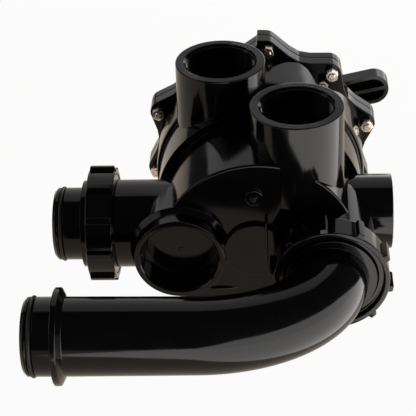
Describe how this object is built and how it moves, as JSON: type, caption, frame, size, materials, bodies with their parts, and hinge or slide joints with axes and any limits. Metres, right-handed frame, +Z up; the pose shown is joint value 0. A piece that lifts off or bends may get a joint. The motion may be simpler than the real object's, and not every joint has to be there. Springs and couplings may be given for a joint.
{
  "type": "multiport valve",
  "caption": "Side-mount multiport valve for a pool filter: round body, bolted cover, press-and-turn lever, threaded ports, lugged unions, straight tail and swept elbow tail.",
  "frame": {"origin": "centre of the upper filter tail's end face", "axes": "+X from the tail ends into the valve, +Y along the selector stem towards the handle, +Z up along the pump and return ports"},
  "size_m": [0.2935, 0.3977, 0.225],
  "materials": {
    "black_plastic": "glossy black moulded plastic",
    "black_rubber": "black seal rubber",
    "stainless_steel": "plain stainless steel"
  },
  "bodies": {
    "valve": {"valve_body": "black_plastic", "valve_cover": "black_plastic", "port_blanking_disc": "black_plastic", "cover_o_ring": "black_rubber", "diverter_gasket": "black_rubber", "upper_union_o_ring": "black_rubber", "lower_union_o_ring": "black_rubber", "cover_bolt_01": "stainless_steel", "cover_bolt_02": "stainless_steel", "cover_bolt_03": "stainless_steel", "cover_bolt_04": "stainless_steel", "cover_bolt_05": "stainless_steel", "cover_bolt_06": "stainless_steel", "cover_bolt_07": "stainless_steel", "cover_bolt_08": "stainless_steel", "cover_bolt_09": "stainless_steel", "cover_bolt_10": "stainless_steel", "cover_nut_01": "stainless_steel", "cover_nut_02": "stainless_steel", "cover_nut_03": "stainless_steel", "cover_nut_04": "stainless_steel", "cover_nut_05": "stainless_steel", "cover_nut_06": "stainless_steel", "cover_nut_07": "stainless_steel", "cover_nut_08": "stainless_steel", "cover_nut_09": "stainless_steel", "cover_nut_10": "stainless_steel"},
    "selector": {"handle_washer": "black_plastic", "spring_washer_upper": "stainless_steel", "diverter_spring": "stainless_steel"},
    "diverter": {"diverter": "black_plastic", "stem_o_ring_lower": "black_rubber", "stem_o_ring_upper": "black_rubber", "spring_washer_lower": "stainless_steel", "handle_pin": "stainless_steel"},
    "handle": {"handle": "black_plastic"},
    "upper_nut": {"upper_union_nut": "black_plastic"},
    "lower_nut": {"lower_union_nut": "black_plastic"},
    "upper_tail": {"upper_tailpiece": "black_plastic", "upper_tail_o_ring": "black_rubber"},
    "elbow": {"elbow_tube": "black_plastic", "elbow_tail_o_ring": "black_rubber"}
  },
  "joints": [
    {"name": "selector_turn", "type": "hinge", "parent": "valve", "child": "selector", "pos_m": [0.1694, 0.1307, 0], "axis": [0, 1, 0], "continuous": true},
    {"name": "diverter_lift", "type": "slide", "parent": "selector", "child": "diverter", "axis": [0, 1, 0], "range_m": [0, 0.0055], "stiffness_N_per_m": 3000, "springref_m": -0.012, "deforming": ["diverter_spring"]},
    {"name": "handle_press", "type": "hinge", "parent": "diverter", "child": "handle", "pos_m": [0.1694, 0.1887, 0], "axis": [0.1599, 0, -0.9871], "range_deg": [0, 14]},
    {"name": "upper_nut_turn", "type": "hinge", "parent": "valve", "child": "upper_nut", "pos_m": [0.04, 0, 0], "axis": [1, 0, 0], "continuous": true},
    {"name": "upper_tail_turn", "type": "hinge", "parent": "valve", "child": "upper_tail", "pos_m": [0.03, 0, 0], "axis": [1, 0, 0], "continuous": true},
    {"name": "lower_nut_turn", "type": "hinge", "parent": "valve", "child": "lower_nut", "pos_m": [0.2267, -0.0736, 0], "axis": [0, 1, 0], "continuous": true},
    {"name": "elbow_swivel", "type": "hinge", "parent": "valve", "child": "elbow", "pos_m": [0.2267, -0.0716, 0], "axis": [0, 1, 0], "continuous": true}
  ],
  "couplings": [
    {"joint": "handle_press", "follows": "diverter_lift", "rad_per_m": 44.4}
  ]
}
